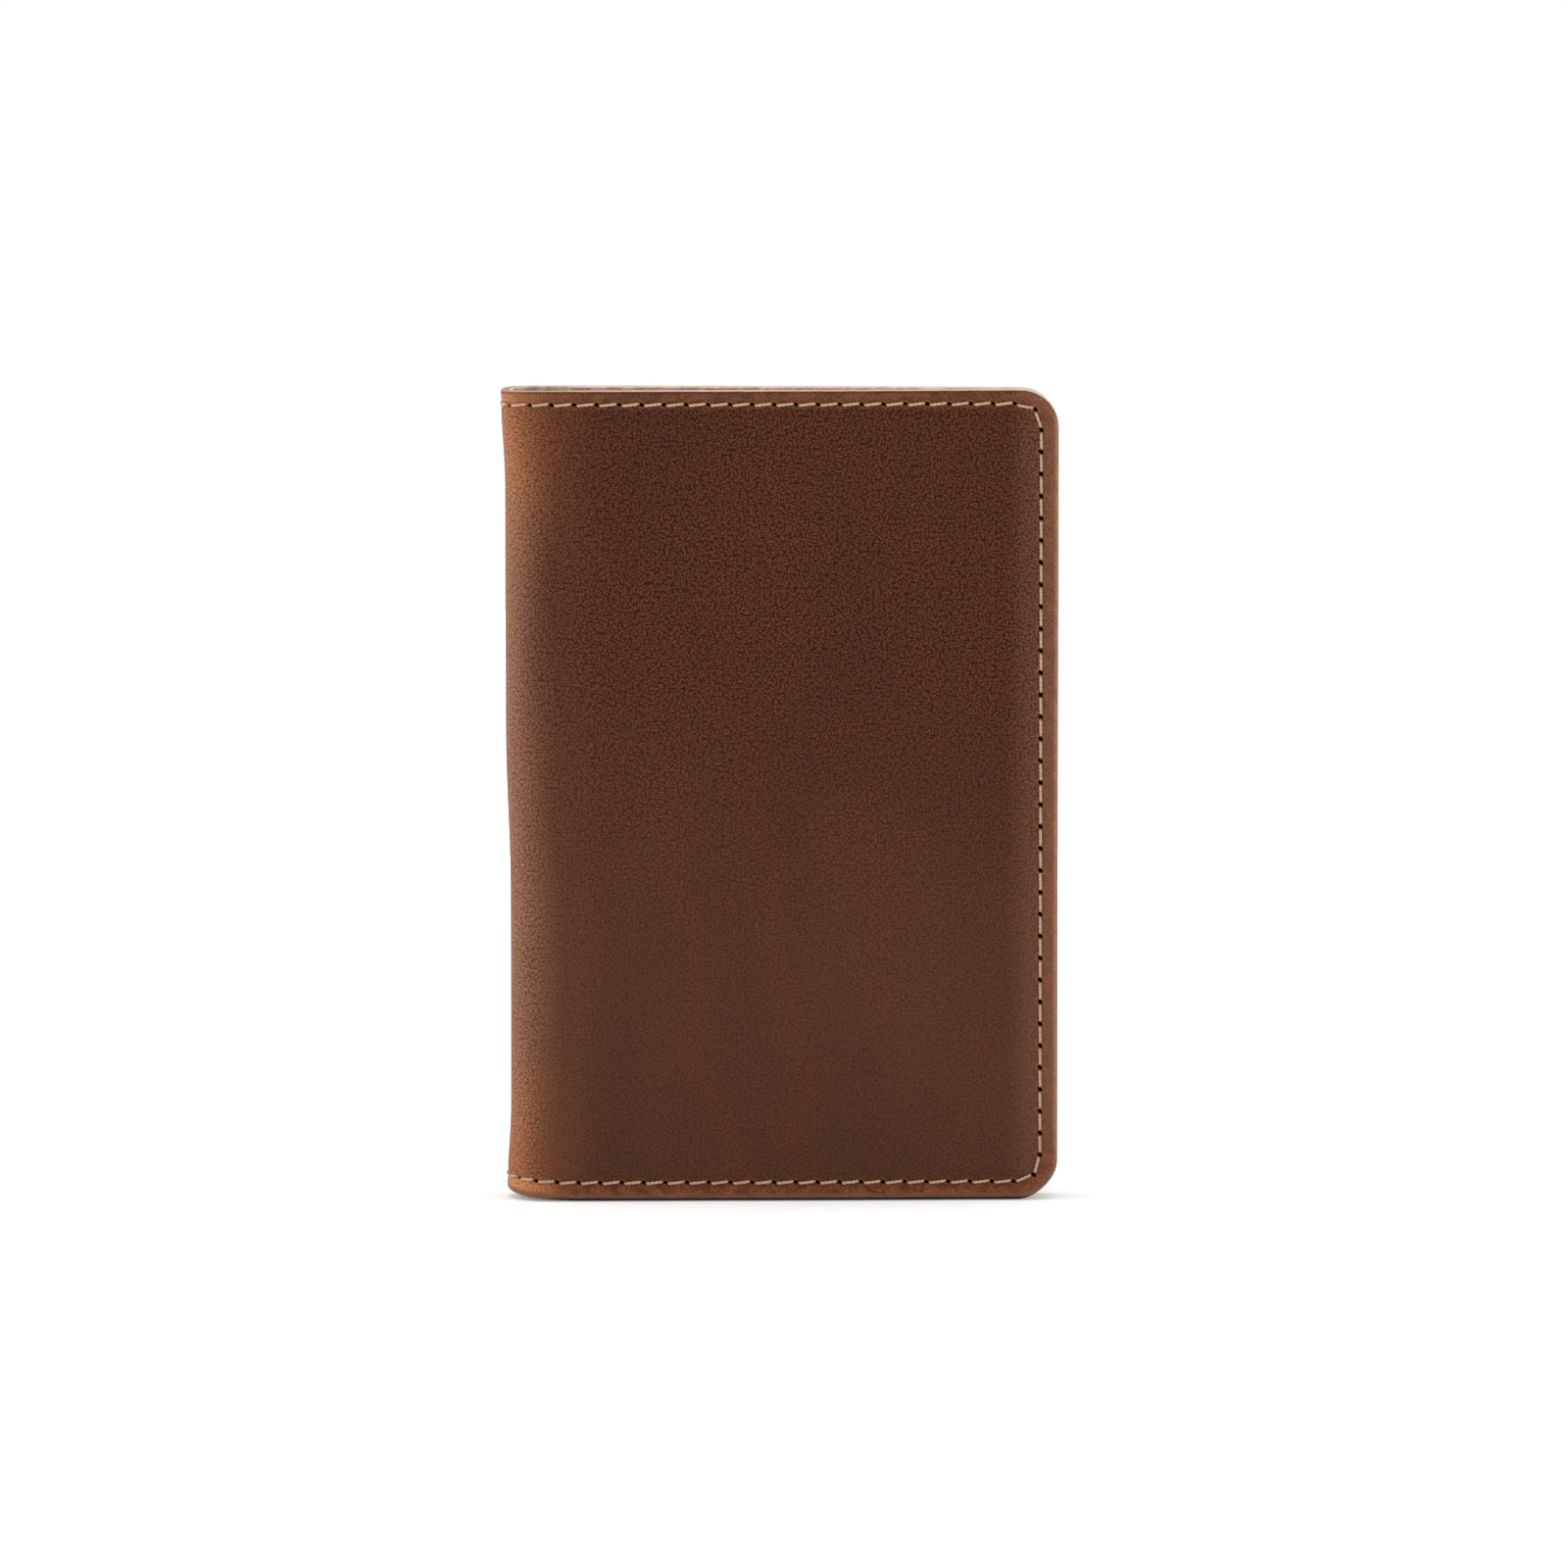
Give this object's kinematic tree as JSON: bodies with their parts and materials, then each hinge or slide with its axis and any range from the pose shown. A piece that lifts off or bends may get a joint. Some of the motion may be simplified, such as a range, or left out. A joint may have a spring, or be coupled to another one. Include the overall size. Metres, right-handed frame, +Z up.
{
  "type": "card holder",
  "caption": "Upright folding card holder in thick brown leather with rounded free corners, pale saddle stitching and lined card pockets inside that open upwards.",
  "frame": {"origin": "middle of the bottom edge of the closed holder, on the surface that it stands on", "axes": "+Z up the height, +X from the fold to the free edges, +Y from the front cover to the back cover"},
  "size_m": [0.0752, 0.0108, 0.1105],
  "materials": {
    "cover_leather": "satin pull-up, fine grain",
    "fold_leather": "satin pull-up, lighter where it bends",
    "lining_leather": "smooth matt",
    "pocket_leather": "satin, fine grain, burnished edges",
    "thread": "waxed twisted thread"
  },
  "bodies": {
    "back_half": {"outer_back_cover": "cover_leather", "lining_back": "lining_leather", "slip_panel_back": "pocket_leather", "upper_pocket_back": "pocket_leather", "lower_pocket_back": "pocket_leather", "edge_thread_back": "thread", "side_thread_back": "thread", "cross_thread_back": "thread"},
    "fold_strip_1": {"outer_fold_strip_1": "fold_leather", "lining_fold_strip_1": "lining_leather", "fold_thread_1": "thread"},
    "fold_strip_2": {"outer_fold_strip_2": "fold_leather", "lining_fold_strip_2": "lining_leather", "fold_thread_2": "thread"},
    "front_half": {"outer_front_cover": "cover_leather", "lining_front": "lining_leather", "slip_panel_front": "pocket_leather", "upper_pocket_front": "pocket_leather", "lower_pocket_front": "pocket_leather", "edge_thread_front": "thread", "side_thread_front": "thread", "cross_thread_front": "thread"}
  },
  "joints": [
    {"name": "fold_hinge_1", "type": "hinge", "parent": "back_half", "child": "fold_strip_1", "pos_m": [-0.0349, 0.0045, 0.05525], "axis": [0, 0, -1], "range_deg": [0, 60]},
    {"name": "fold_hinge_2", "type": "hinge", "parent": "fold_strip_1", "child": "fold_strip_2", "pos_m": [-0.0375, 0, 0.05525], "axis": [0, 0, -1], "range_deg": [0, 60]},
    {"name": "fold_hinge_3", "type": "hinge", "parent": "fold_strip_2", "child": "front_half", "pos_m": [-0.0349, -0.0045, 0.05525], "axis": [0, 0, -1], "range_deg": [0, 60]}
  ],
  "couplings": [
    {"joint": "fold_hinge_2", "follows": "fold_hinge_1", "ratio": 1},
    {"joint": "fold_hinge_3", "follows": "fold_hinge_1", "ratio": 1}
  ]
}
